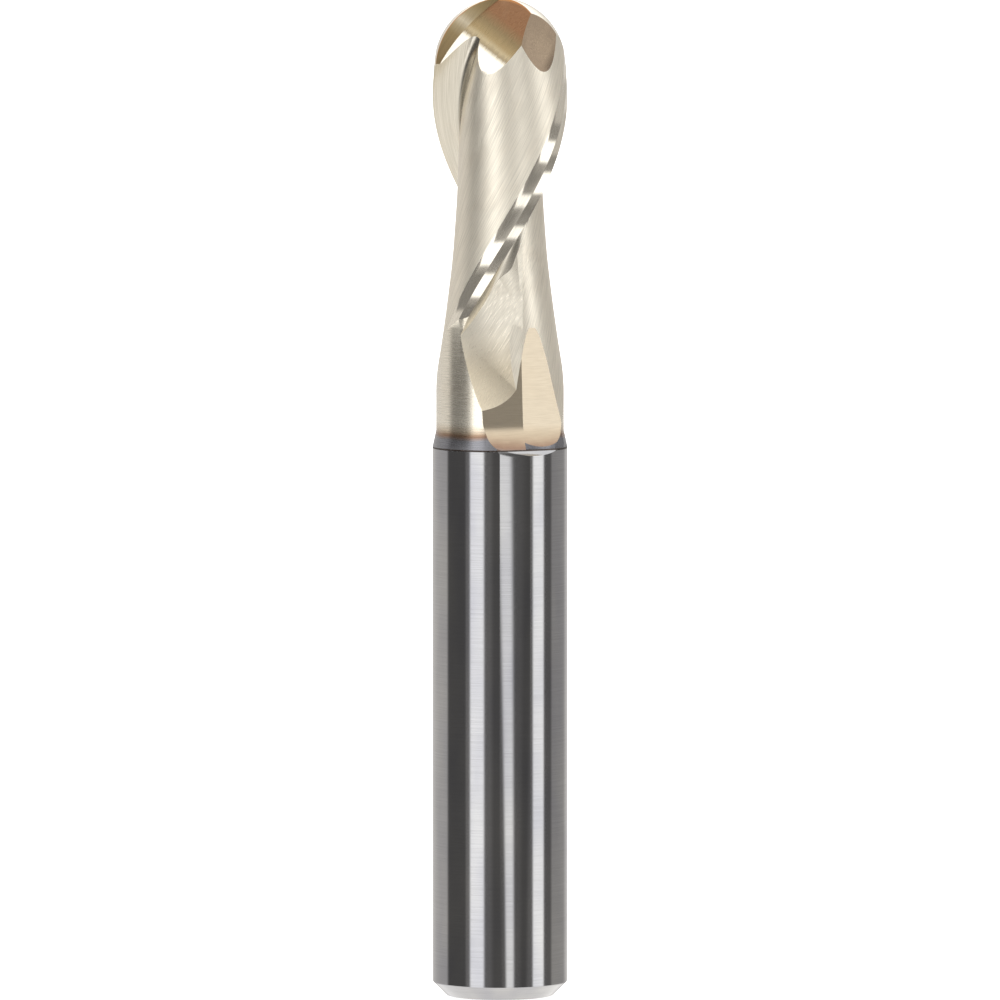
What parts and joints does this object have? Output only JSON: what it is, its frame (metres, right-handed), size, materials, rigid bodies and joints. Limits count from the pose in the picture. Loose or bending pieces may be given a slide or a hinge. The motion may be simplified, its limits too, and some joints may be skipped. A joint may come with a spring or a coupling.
{
  "type": "ball-nose end mill",
  "caption": "Right-hand ball-nose end mill: plain round shank, relieved neck, helical flutes with ground relief lands, and a gashed ball end.",
  "frame": {"origin": "centre of the shank's flat back face", "axes": "+Z along the tool's axis from the back face to the ball's tip; the edges' azimuth is fixed so that -Y faces the viewer"},
  "size_m": [0.01, 0.01, 0.074],
  "materials": {
    "shank": "ground and polished",
    "braze": "dull",
    "coating": "ground, with a thin pale gold coating"
  },
  "bodies": {
    "root": {"shank": "shank", "braze_joint": "braze", "cutting_head": "coating"}
  },
  "joints": []
}
